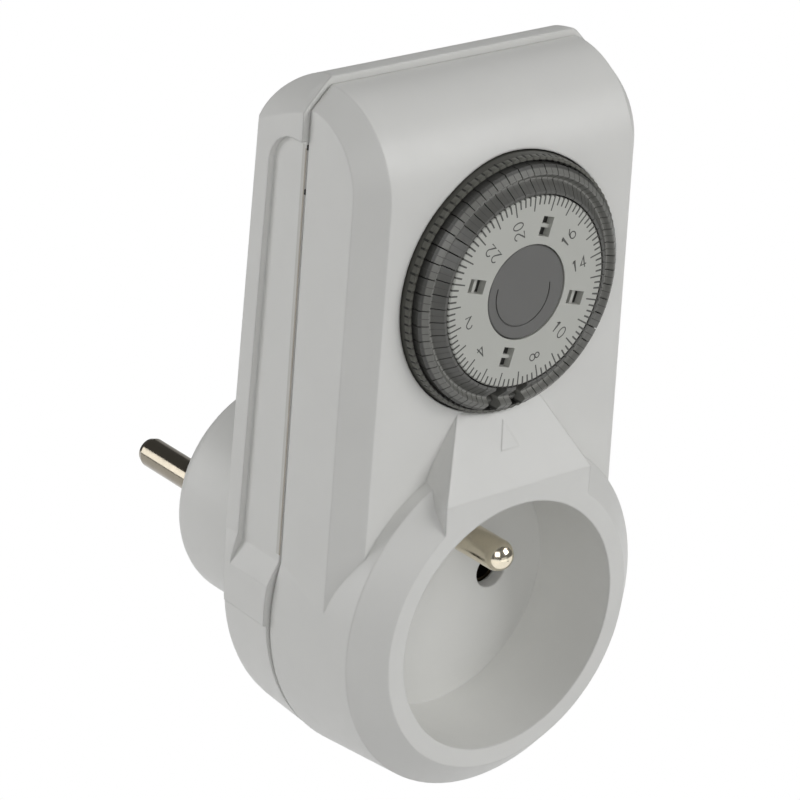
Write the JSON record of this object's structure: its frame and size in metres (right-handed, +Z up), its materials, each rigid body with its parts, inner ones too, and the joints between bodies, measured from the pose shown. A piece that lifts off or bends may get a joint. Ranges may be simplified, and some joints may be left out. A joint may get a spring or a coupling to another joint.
{
  "type": "plug in timer switch",
  "caption": "Plug-in mains timer with an earthed round socket on the front, a 24-hour dial ringed by push tappets, and a round two-pin plug on the back.",
  "frame": {"origin": "centre of the plug's flat face, midway between its two pins, on the common axis of plug and socket", "axes": "+Y points into the wall along the plug's pins and the front faces -Y, +Z is up towards the dial, +X is to the right seen from the front"},
  "size_m": [0.0584, 0.0768, 0.1094],
  "materials": {
    "housing": "fine matt off-white moulding",
    "pin_metal": "nickel-plated brass, turned",
    "spring_brass": "rolled brass",
    "copper": "copper alloy strip",
    "dial_face": "satin grey disc",
    "dial_dark": "satin dark grey",
    "black_plastic": "satin black",
    "natural_plastic": "natural acetal",
    "clutch_plastic": "blue acetal",
    "steel": "bright steel",
    "motor_steel": "zinc-plated sheet",
    "winding": "enamelled winding",
    "magnet": "moulded ferrite",
    "lever_brown": "satin brown",
    "plunger_red": "satin red"
  },
  "bodies": {
    "housing": {"front_shell": "housing", "rear_shell": "housing", "case_screws": "steel", "plug_pin_left": "pin_metal", "plug_pin_right": "pin_metal", "earth_pin": "pin_metal", "earth_strip": "spring_brass", "earth_sleeve": "spring_brass", "socket_contact_left": "spring_brass", "socket_contact_right": "spring_brass", "neutral_busbar": "copper", "supply_busbar": "copper", "switched_busbar": "copper", "dial_screw": "steel", "mechanism_plate": "natural_plastic", "plate_screws": "steel", "arbors": "steel", "motor_can": "motor_steel", "motor_coil": "winding", "motor_plate": "motor_steel", "lever_pin": "steel", "switch_case": "black_plastic", "switch_lid": "black_plastic", "fixed_contact": "copper"},
    "dial": {"dial_disc": "dial_face", "dial_carrier": "black_plastic", "scale_ring": "dial_dark", "hub_cap": "dial_dark", "tappets": "dial_dark"},
    "dial_pinion_body": {"dial_pinion": "natural_plastic"},
    "clutch_wheel_body": {"clutch_wheel": "clutch_plastic"},
    "second_wheel_body": {"second_wheel": "natural_plastic"},
    "first_wheel_body": {"first_wheel": "natural_plastic"},
    "rotor_body": {"motor_rotor": "magnet"},
    "lever_body": {"trip_lever": "lever_brown"},
    "plunger_body": {"switch_plunger": "plunger_red"},
    "blade_body": {"contact_blade": "copper"},
    "tappet_8_body": {"tappet_8": "dial_dark"},
    "tappet_9_body": {"tappet_9": "dial_dark"},
    "tappet_10_body": {"tappet_10": "dial_dark"},
    "tappet_11_body": {"tappet_11": "dial_dark"},
    "tappet_12_body": {"tappet_12": "dial_dark"},
    "tappet_13_body": {"tappet_13": "dial_dark"},
    "tappet_14_body": {"tappet_14": "dial_dark"},
    "tappet_15_body": {"tappet_15": "dial_dark"},
    "tappet_16_body": {"tappet_16": "dial_dark"},
    "tappet_17_body": {"tappet_17": "dial_dark"},
    "tappet_18_body": {"tappet_18": "dial_dark"},
    "tappet_19_body": {"tappet_19": "dial_dark"}
  },
  "joints": [
    {"name": "dial_turn", "type": "hinge", "parent": "housing", "child": "dial", "pos_m": [0, -0.05, 0.0515], "axis": [0, -1, 0], "continuous": true},
    {"name": "dial_pinion_turn", "type": "hinge", "parent": "housing", "child": "dial_pinion_body", "pos_m": [0.00479, -0.045, 0.06466], "axis": [0, -1, 0], "continuous": true},
    {"name": "rotor_turn", "type": "hinge", "parent": "housing", "child": "rotor_body", "pos_m": [-0.00825, -0.035, 0.05059], "axis": [0, -1, 0], "continuous": true},
    {"name": "first_wheel_turn", "type": "hinge", "parent": "housing", "child": "first_wheel_body", "pos_m": [0.00215, -0.0392, 0.04459], "axis": [0, -1, 0], "continuous": true},
    {"name": "second_wheel_turn", "type": "hinge", "parent": "housing", "child": "second_wheel_body", "pos_m": [0.00986, -0.0404, 0.05378], "axis": [0, -1, 0], "continuous": true},
    {"name": "clutch_wheel_turn", "type": "hinge", "parent": "housing", "child": "clutch_wheel_body", "pos_m": [0.00479, -0.0417, 0.06466], "axis": [0, -1, 0], "continuous": true},
    {"name": "lever_swing", "type": "hinge", "parent": "housing", "child": "lever_body", "pos_m": [0, -0.0434, 0.026], "axis": [1, 0, 0], "range_deg": [0, 10.2]},
    {"name": "plunger_slide", "type": "slide", "parent": "housing", "child": "plunger_body", "axis": [0, 0, 1], "range_m": [0, 0.0013]},
    {"name": "blade_flex", "type": "hinge", "parent": "housing", "child": "blade_body", "pos_m": [-0.006, -0.035, 0.0172], "axis": [0, -1, 0], "range_deg": [0, 8]},
    {"name": "tappet_8_slide", "type": "slide", "parent": "dial", "child": "tappet_8_body", "axis": [0, 1, 0], "range_m": [0, 0.0018]},
    {"name": "tappet_9_slide", "type": "slide", "parent": "dial", "child": "tappet_9_body", "axis": [0, 1, 0], "range_m": [0, 0.0018]},
    {"name": "tappet_10_slide", "type": "slide", "parent": "dial", "child": "tappet_10_body", "axis": [0, 1, 0], "range_m": [0, 0.0018]},
    {"name": "tappet_11_slide", "type": "slide", "parent": "dial", "child": "tappet_11_body", "axis": [0, 1, 0], "range_m": [0, 0.0018]},
    {"name": "tappet_12_slide", "type": "slide", "parent": "dial", "child": "tappet_12_body", "axis": [0, 1, 0], "range_m": [-0.0018, 0]},
    {"name": "tappet_13_slide", "type": "slide", "parent": "dial", "child": "tappet_13_body", "axis": [0, 1, 0], "range_m": [0, 0.0018]},
    {"name": "tappet_14_slide", "type": "slide", "parent": "dial", "child": "tappet_14_body", "axis": [0, 1, 0], "range_m": [-0.0018, 0]},
    {"name": "tappet_15_slide", "type": "slide", "parent": "dial", "child": "tappet_15_body", "axis": [0, 1, 0], "range_m": [0, 0.0018]},
    {"name": "tappet_16_slide", "type": "slide", "parent": "dial", "child": "tappet_16_body", "axis": [0, 1, 0], "range_m": [0, 0.0018]},
    {"name": "tappet_17_slide", "type": "slide", "parent": "dial", "child": "tappet_17_body", "axis": [0, 1, 0], "range_m": [0, 0.0018]},
    {"name": "tappet_18_slide", "type": "slide", "parent": "dial", "child": "tappet_18_body", "axis": [0, 1, 0], "range_m": [0, 0.0018]},
    {"name": "tappet_19_slide", "type": "slide", "parent": "dial", "child": "tappet_19_body", "axis": [0, 1, 0], "range_m": [0, 0.0018]}
  ],
  "couplings": [
    {"joint": "dial_pinion_turn", "follows": "dial_turn", "ratio": -6},
    {"joint": "first_wheel_turn", "follows": "rotor_turn", "ratio": -0.2},
    {"joint": "second_wheel_turn", "follows": "rotor_turn", "ratio": 0.04},
    {"joint": "clutch_wheel_turn", "follows": "rotor_turn", "ratio": -0.008},
    {"joint": "lever_swing", "follows": "plunger_slide", "rad_per_m": 136.94},
    {"joint": "blade_flex", "follows": "plunger_slide", "rad_per_m": 107.4},
    {"joint": "tappet_14_slide", "follows": "plunger_slide", "ratio": -1.3846}
  ]
}
